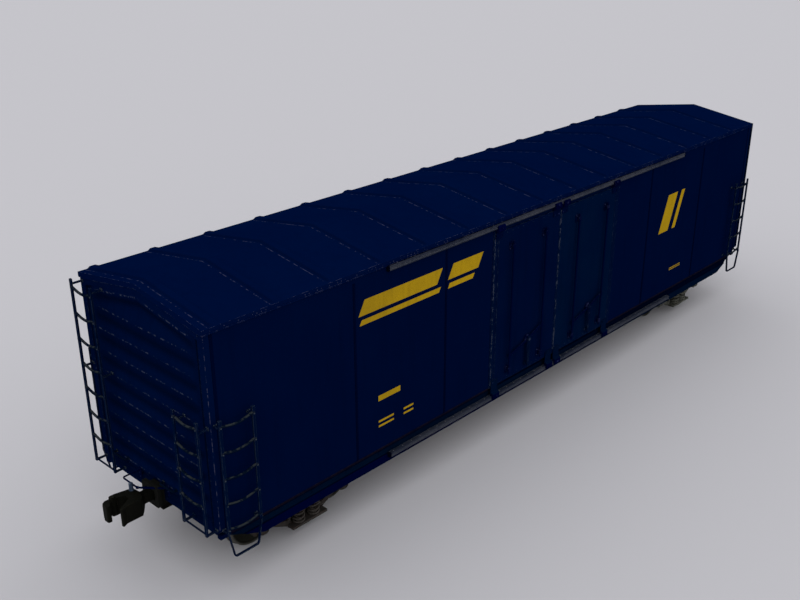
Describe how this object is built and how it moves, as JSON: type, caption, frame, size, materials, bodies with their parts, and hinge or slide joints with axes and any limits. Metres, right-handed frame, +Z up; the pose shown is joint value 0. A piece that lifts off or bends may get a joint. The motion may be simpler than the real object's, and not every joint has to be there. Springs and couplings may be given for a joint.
{
  "type": "railroad boxcar",
  "caption": "Insulated railroad boxcar with plug doors side by side on each side, corrugated ends, ribbed gable roof, knuckle couplers and swivelling trucks.",
  "frame": {"origin": "on the floor under the middle of the car, where the wheel flanges stand", "axes": "+X along the car towards end B with the hand brake, +Y to the left side, +Z up"},
  "size_m": [17.99, 3.42, 4.708],
  "materials": {
    "body_blue": "worn semi-gloss paint",
    "roof_blue": "weathered paint",
    "door_blue": "worn semi-gloss paint",
    "gear_blue": "chipped paint",
    "track_grey": "weathered grey-blue",
    "sill_blue": "worn paint",
    "underframe_dark": "dusty black paint",
    "floor_boards": "worn planks",
    "coupler_steel": "rusty dark casting",
    "truck_steel": "dusty grey-brown casting",
    "wheel_steel": "rusty steel with a rolled bright tread"
  },
  "bodies": {
    "car_body": {"center_sill": "underframe_dark", "body_bolsters": "underframe_dark", "crossbearers": "underframe_dark", "side_sill_right": "sill_blue", "side_sill_left": "sill_blue", "floor": "floor_boards", "wall_right_a": "body_blue", "wall_right_b": "body_blue", "wall_left_a": "body_blue", "wall_left_b": "body_blue", "door_frame_right": "body_blue", "door_frame_left": "body_blue", "door_right_a": "door_blue", "door_right_b": "door_blue", "door_left_a": "door_blue", "door_left_b": "door_blue", "door_gear_right": "gear_blue", "door_gear_left": "gear_blue", "door_tracks_right": "track_grey", "door_tracks_left": "track_grey", "end_wall_a": "body_blue", "end_wall_b": "body_blue", "roof": "roof_blue", "end_ladders_a": "gear_blue", "end_ladders_b": "gear_blue", "side_ladders_right": "gear_blue", "side_ladders_left": "gear_blue", "uncoupling_levers": "gear_blue", "hand_brake": "gear_blue", "brake_platform": "gear_blue", "brake_equipment": "underframe_dark"},
    "truck_a": {"truck_a_bolster": "truck_steel", "truck_a_side_frames": "truck_steel", "truck_a_springs": "truck_steel", "truck_a_brake_beams": "truck_steel"},
    "wheelset_a1": {"wheelset_a1": "wheel_steel"},
    "wheelset_a2": {"wheelset_a2": "wheel_steel"},
    "coupler_a": {"coupler_a": "coupler_steel"},
    "knuckle_a": {"knuckle_a": "coupler_steel"},
    "truck_b": {"truck_b_bolster": "truck_steel", "truck_b_side_frames": "truck_steel", "truck_b_springs": "truck_steel", "truck_b_brake_beams": "truck_steel"},
    "wheelset_b1": {"wheelset_b1": "wheel_steel"},
    "wheelset_b2": {"wheelset_b2": "wheel_steel"},
    "coupler_b": {"coupler_b": "coupler_steel"},
    "knuckle_b": {"knuckle_b": "coupler_steel"}
  },
  "joints": [
    {"name": "truck_a_swivel", "type": "hinge", "parent": "car_body", "child": "truck_a", "pos_m": [-6.125, 0, 0.444], "axis": [0, 0, 1], "range_deg": [-8, 8]},
    {"name": "wheelset_a1_spin", "type": "hinge", "parent": "truck_a", "child": "wheelset_a1", "pos_m": [-6.989, 0, 0.444], "axis": [0, 1, 0], "continuous": true},
    {"name": "wheelset_a2_spin", "type": "hinge", "parent": "truck_a", "child": "wheelset_a2", "pos_m": [-5.261, 0, 0.444], "axis": [0, 1, 0], "continuous": true},
    {"name": "coupler_a_swing", "type": "hinge", "parent": "car_body", "child": "coupler_a", "pos_m": [-8.015, 0, 1.21], "axis": [0, 0, 1], "range_deg": [-7, 7]},
    {"name": "knuckle_a_open", "type": "hinge", "parent": "coupler_a", "child": "knuckle_a", "pos_m": [-8.795, 0.14, 1.21], "axis": [0, 0, -1], "range_deg": [0, 50]},
    {"name": "truck_b_swivel", "type": "hinge", "parent": "car_body", "child": "truck_b", "pos_m": [6.125, 0, 0.444], "axis": [0, 0, 1], "range_deg": [-8, 8]},
    {"name": "wheelset_b1_spin", "type": "hinge", "parent": "truck_b", "child": "wheelset_b1", "pos_m": [5.261, 0, 0.444], "axis": [0, 1, 0], "continuous": true},
    {"name": "wheelset_b2_spin", "type": "hinge", "parent": "truck_b", "child": "wheelset_b2", "pos_m": [6.989, 0, 0.444], "axis": [0, 1, 0], "continuous": true},
    {"name": "coupler_b_swing", "type": "hinge", "parent": "car_body", "child": "coupler_b", "pos_m": [8.015, 0, 1.21], "axis": [0, 0, 1], "range_deg": [-7, 7]},
    {"name": "knuckle_b_open", "type": "hinge", "parent": "coupler_b", "child": "knuckle_b", "pos_m": [8.795, -0.14, 1.21], "axis": [0, 0, -1], "range_deg": [0, 50]}
  ]
}
